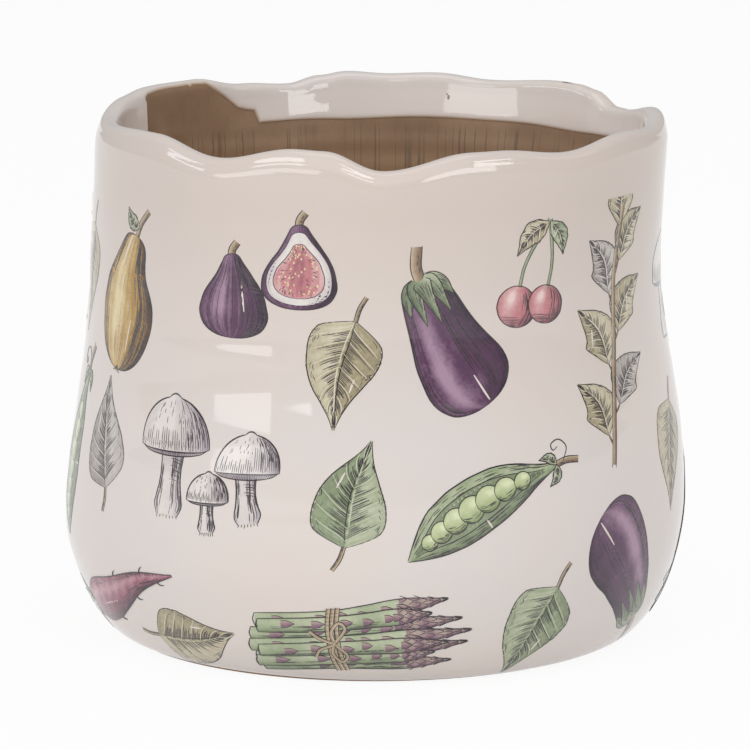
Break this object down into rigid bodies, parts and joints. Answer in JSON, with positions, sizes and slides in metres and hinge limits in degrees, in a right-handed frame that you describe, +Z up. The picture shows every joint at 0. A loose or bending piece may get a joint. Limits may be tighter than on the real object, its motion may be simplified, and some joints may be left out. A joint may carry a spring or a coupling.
{
  "type": "flower pot",
  "caption": "Round-bellied glazed ceramic flower pot with a straight neck, a wavy hand-formed lip, botanical print transfers on the outside and a bare clay inside.",
  "frame": {"origin": "middle of the pot's footprint at the height of the table it stands on", "axes": "+Z up along the pot's axis, front towards -Y, +X to the right seen from the front"},
  "size_m": [0.1609, 0.1605, 0.1361],
  "materials": {
    "fired clay": "bare fired clay, matt",
    "cream glaze": "glossy",
    "print transfer": "glossy, printed in several colours"
  },
  "bodies": {
    "root": {"clay_body": "fired clay", "cream_glaze": "cream glaze", "print_pear_front": "print transfer", "print_fig_front": "print transfer", "print_aubergine_front": "print transfer", "print_sprig_front": "print transfer", "print_mushroom_front": "print transfer", "print_leaf_front": "print transfer", "print_pea_pod_front": "print transfer", "print_carrot_front": "print transfer", "print_asparagus_front": "print transfer", "print_aubergine_right": "print transfer", "print_pea_pod_left": "print transfer", "print_mushroom_right": "print transfer", "print_carrot_right": "print transfer", "print_fig_right": "print transfer", "print_pear_back": "print transfer", "print_sprig_back": "print transfer", "print_asparagus_back": "print transfer", "print_aubergine_back": "print transfer", "print_fig_left": "print transfer", "print_mushroom_back": "print transfer", "print_leaf_left": "print transfer", "print_carrot_left": "print transfer", "print_leaf_upper_left": "print transfer", "print_leaf_middle": "print transfer", "print_leaf_low_right": "print transfer", "print_leaf_low_left": "print transfer", "print_leaf_side_left": "print transfer", "print_leaf_side_right": "print transfer", "print_leaf_back_right": "print transfer", "print_leaf_back_top": "print transfer", "print_cherry_front": "print transfer", "print_cherry_back": "print transfer", "print_cherry_left": "print transfer", "print_pear_left": "print transfer"}
  },
  "joints": []
}
